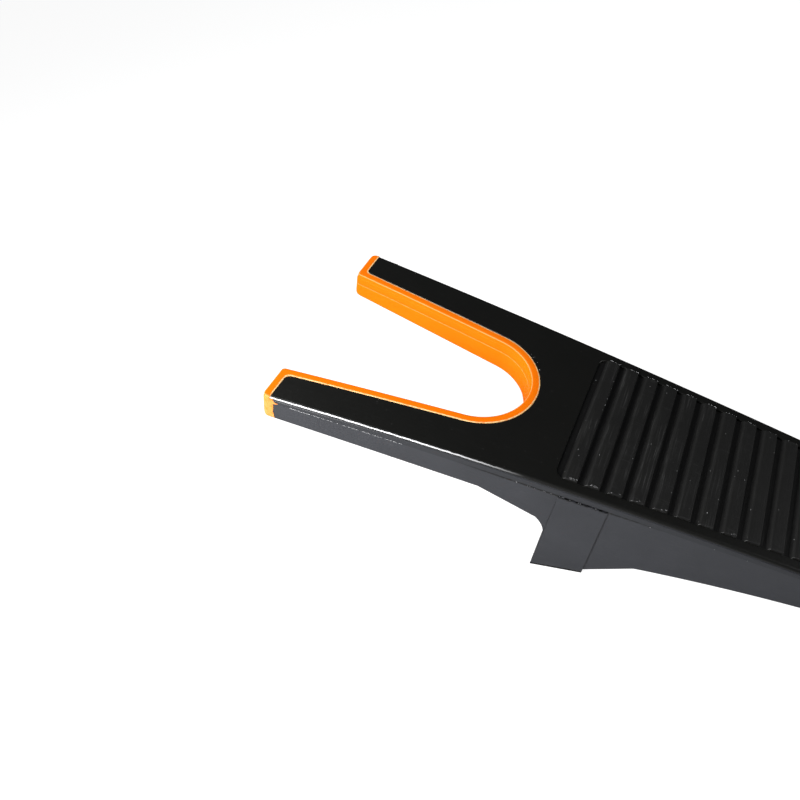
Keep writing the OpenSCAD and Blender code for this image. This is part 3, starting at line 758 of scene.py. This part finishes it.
# Each station is a ring: the top with small rounds at its two sides, and the base
u = stations[:, None]
edge_u = np.minimum(u - tread_ends[0], tread_ends[1] - u)
inside = np.clip(tread_round - edge_u, 0.0, None)
corner_in = tread_round - np.sqrt(np.clip(tread_round ** 2 - inside ** 2, 0.0, None))
tread_half = half_width(u) - tread_margin - corner_in
side_in = np.array([0.0, 0.05, 0.13, 0.25, 0.45, 0.8])
side_fall = np.array([0.35, 0.17, 0.07, 0.02, 0.0, 0.0])
across_t = np.linspace(-1.0, 1.0, 97)[1:-1]
v = np.concatenate([-tread_half + side_in, (tread_half - 0.9) * across_t,
                    tread_half - side_in[::-1]], axis=1)
fall_of = np.concatenate([side_fall, 0.0 * across_t, side_fall[::-1]])[None, :]
top = bar_height(u, v)
top = top - fall_of * np.clip(top + 1.0, 0.0, 2.1) / 2.1 - camber(u)
low = -panel_depth - camber(u)
ring_v = np.concatenate([v, tread_half, -tread_half], axis=1)
ring_n = np.concatenate([top, low, low], axis=1)
tread = closed_mesh("tread_panel", on_floor(u, ring_v, ring_n))
stamp(tread, "raised", ring_n + camber(u))

black_rubber, tree, shader, worn, relief = finish(
    "black_rubber", colour=(0.0105, 0.0105, 0.0102), roughness=0.42, tones=0.25, grain=0.5,
    waves=0.3, bump=0.40, scuffs=0.15, dust=0.9, pale=(0.30, 0.30, 0.30), specular=0.42)

# Streaks drawn along the bars, which also stand a little proud. They come in
# patches, and mostly on the first bars
at = placed(tree, deck_place)
stretch = part_of(tree, "ShaderNodeMapping", vector_type="POINT", in_Vector=at.outputs["Point"],
                  in_Scale=(2.6, 0.045, 0.5))
streaks = part_of(tree, "ShaderNodeTexNoise", in_Vector=stretch.outputs[0], in_Scale=1.0,
                  in_Detail=4.0, in_Roughness=0.6).outputs["Fac"]
grain_height = relief.inputs["Height"].links[0].from_socket
joined(tree, relief.inputs["Height"], sum_of(tree, "MULTIPLY_ADD", streaks, 2.4, grain_height))
patches = part_of(tree, "ShaderNodeTexNoise", in_Vector=at.outputs["Point"], in_Scale=0.05,
                  in_Detail=2.0).outputs["Fac"]
showing = product_of(
    tree, ramp_of(tree, streaks, 0.55, 0.74, 0.0, 0.30), ramp_of(tree, patches, 0.42, 0.60),
    ramp_of(tree, at.outputs["Along"], 75.0, 35.0, 0.15, 1.0))
streaked = blend_of(tree, showing, worn, (0.20, 0.20, 0.20))

# Painted shade darkens the grooves between the bars
raised = part_of(tree, "ShaderNodeAttribute", attribute_name="raised").outputs["Fac"]
groove_shade = product_of(tree, ramp_of(tree, raised, 0.2, -0.9), 0.85)
joined(tree, shader.inputs["Base Color"],
       blend_of(tree, groove_shade, streaked, (0.0025, 0.0025, 0.0025)))
stand("tread_panel", tread, black_rubber, "tread", 32.0, "tread_pad")

# ---------------------------------------------------------------- the flash
# Thin torn crumbs of plastic left by the mould: along the parting line, on the
# arms' edges near the tips, at the ends of the bars and beside the slot's end.
# Their pale grey is partly whitened plastic and partly painted glints.

# Pale grey: partly whitened plastic, partly painted glints
whitened_glinting_flash = finish(
    "whitened_glinting_flash", colour=(0.46, 0.46, 0.47), roughness=0.45, tones=0.55, grain=0.4, waves=0.3,
    bump=0.3, scuffs=0.0, dust=0.0, pale=(0.8, 0.8, 0.8), specular=0.50)[0]


def crumbs(name, rows, seed, slot):
    """Torn crumbs as squashed, jittered octahedra. Each row: along, across, above, then
    the crumb's length, width and height in mm, and its turn about the deck's normal."""
    rows = np.asarray(rows, dtype=float)
    rng = np.random.default_rng(seed)
    corners = np.array([(1, 0, 0), (0, 1, 0), (-1, 0, 0), (0, -1, 0), (0, 0, 1), (0, 0, -1)]) / 2.0
    body_of = corners[None] * rows[:, None, 3:6] * rng.uniform(0.6, 1.3, (len(rows), 6, 1))
    a = np.radians(rows[:, 6])[:, None]
    u = rows[:, None, 0] + body_of[..., 0] * np.cos(a) - body_of[..., 1] * np.sin(a)
    v = rows[:, None, 1] + body_of[..., 0] * np.sin(a) + body_of[..., 1] * np.cos(a)
    n = rows[:, None, 2] + body_of[..., 2]
    points = on_floor(u, v, n).reshape(-1, 3)
    faces = np.array([(0, 1, 4), (1, 2, 4), (2, 3, 4), (3, 0, 4),
                      (1, 0, 5), (2, 1, 5), (3, 2, 5), (0, 3, 5)])
    faces = (faces[None] + 6 * np.arange(len(rows))[:, None, None]).reshape(-1, 3)
    mesh = bpy.data.meshes.new(name)
    mesh.from_pydata(points.tolist(), [], faces.tolist())
    stand(name, mesh, whitened_glinting_flash, slot, 20.0)


def spread(start, stop, count, seed):
    """Seeded places between start and stop, in order."""
    return np.sort(np.random.default_rng(seed).uniform(start, stop, count))


def crumb_rows(*columns):
    """Rows of crumbs from their columns, each one number for all or one for each crumb."""
    return np.stack(np.broadcast_arrays(*columns), axis=-1)


def parting_height(u):
    """How high the cover's lower edge lies over the deck's plane at u: below it by the
    drop and by its share of the camber."""
    return -5.8 - parting_share * camber(u)


# Along the parting line of both flanks: long shreds near the tips, then shorter
# ones, and single specks whose places and sizes are listed
shreds = np.concatenate([spread(-133.0, -119.0, 34, 31), spread(-119.0, -78.0, 44, 32),
                         spread(-26.0, 14.0, 9, 33)])
long = np.where(shreds < -119.0, 2.4, np.where(shreds < -60.0, 1.6, 0.6))
speck_u, speck_size = np.array([
    (-24.0, 1.0), (-19.0, 0.5), (-11.0, 0.45), (0.4, 0.4), (5.0, 0.4),
    (12.0, 0.5), (36.0, 0.5), (64.0, 0.5), (78.0, 0.5)]).T
tip_u = spread(-141.0, -131.0, 12, 34)
for tag, hand in (("near", -1.0), ("far", 1.0)):
    line = crumb_rows(shreds, hand * half_width(shreds), parting_height(shreds) - 0.02, long,
                      0.14, 0.26, -hand * 7.0)
    specks = crumb_rows(speck_u, hand * (half_width(speck_u) + 0.02),
                        parting_height(speck_u) - 0.05, speck_size, 0.25, speck_size * 0.6, 0.0)
    crumbs("parting_flash_" + tag, np.concatenate([line, specks]), 41, "cover")

    # On the arm's top edge behind the tip, turned to and fro
    tip = crumb_rows(tip_u, hand * (half_width(tip_u) - 0.30), -0.42 - camber(tip_u), 1.0, 0.35,
                     0.45, -hand * np.resize([-35.0, 30.0], 12))
    crumbs("edge_flash_" + tag, tip, 42, "cover")

# At the bars' far ends, fewer on each bar towards the heel
far_burrs = (16, 12, 12, 10, 9, 8, 8, 6, 5, 3, 2)
rows = []
for bar, many in enumerate(far_burrs):
    at_u = spread(bar * bar_pitch - 5.2, bar * bar_pitch - 0.1, many, 50 + bar)
    rows.append(crumb_rows(
        at_u, half_width(at_u) - 5.75 + 0.25 * drift(at_u, 0.6, 51), 1.02 - camber(at_u),
        0.75, 0.16, 0.28, 40.0 * drift(at_u, 0.4, 52)))

# At their near ends, lighter, in two staggered lines: each bar and its number
for bar, many in ((0, 6), (1, 5), (2, 2), (3, 2), (4, 2), (7, 2)):
    at_u = spread(bar * bar_pitch - 4.6, bar * bar_pitch - 0.4, many, 70 + bar)
    rows.append(crumb_rows(
        at_u, -half_width(at_u) + 5.95 + 0.5 * (np.arange(many) % 2), 1.08 - camber(at_u),
        1.3, 0.18, 0.16, 6.0 * drift(at_u, 0.4, 72)))

# Along the first bar's square edge, and a few on the bars' tops
at_v = spread(6.0, 37.0, 18, 90)
rows.append(crumb_rows(-0.12, at_v, 0.95 + 0.1 * drift(at_v, 0.5, 91), 0.22, 0.9, 0.25,
                       8.0 * drift(at_v, 0.5, 92)))
rows.append(np.array([
    (-4.4, -22.8, 1.10, 0.25, 0.95, 0.16, 8.0), (5.2, -21.1, 1.08, 0.3, 0.4, 0.16, 0.0),
    (56.1, -28.7, 0.62, 0.3, 0.8, 0.16, 12.0), (-8.3, 25.8, -0.95, 0.4, 0.5, 0.2, 0.0),
    (64.4, -2.2, 0.44, 0.4, 0.3, 0.16, 0.0), (68.9, -2.0, 0.34, 0.3, 0.4, 0.16, 0.0),
    (-6.1, -9.7, 0.0, 0.25, 0.4, 0.2, 0.0), (46.0, -15.0, 0.75, 0.3, 0.3, 0.16, 0.0)]))
crumbs("bar_burrs", np.concatenate(rows), 43, "tread")

# On the deck beside the slot's round end
crumbs("slot_crumbs", [
    (-41.0, 24.5, -0.20, 0.7, 0.35, 0.25, 40.0), (-40.3, 24.9, -0.22, 0.4, 0.3, 0.2, 0.0),
    (-35.6, 17.6, -0.16, 0.5, 0.4, 0.25, 20.0), (-42.6, 26.2, -0.24, 0.3, 0.25, 0.2, 0.0),
    (-38.2, 21.9, -0.18, 0.3, 0.25, 0.2, 0.0)], 44, "cover")

# ---------------------------------------------------------------- the pads
# Each leg and the heel stand on a thin pad of soft black rubber, which keeps the
# boot jack from sliding. Its hollow plug is pressed up into the housing.

pad_rubber = finish(
    "pad_rubber", colour=(0.0085, 0.0085, 0.0090), roughness=0.62, tones=0.3, grain=0.35,
    waves=0.2, bump=0.5, scuffs=0.3, dust=1.0, pale=(0.20, 0.19, 0.18), specular=0.40)[0]
for name in ("leg_pad_left", "leg_pad_right", "heel_pad"):
    wear(name, pad_rubber)
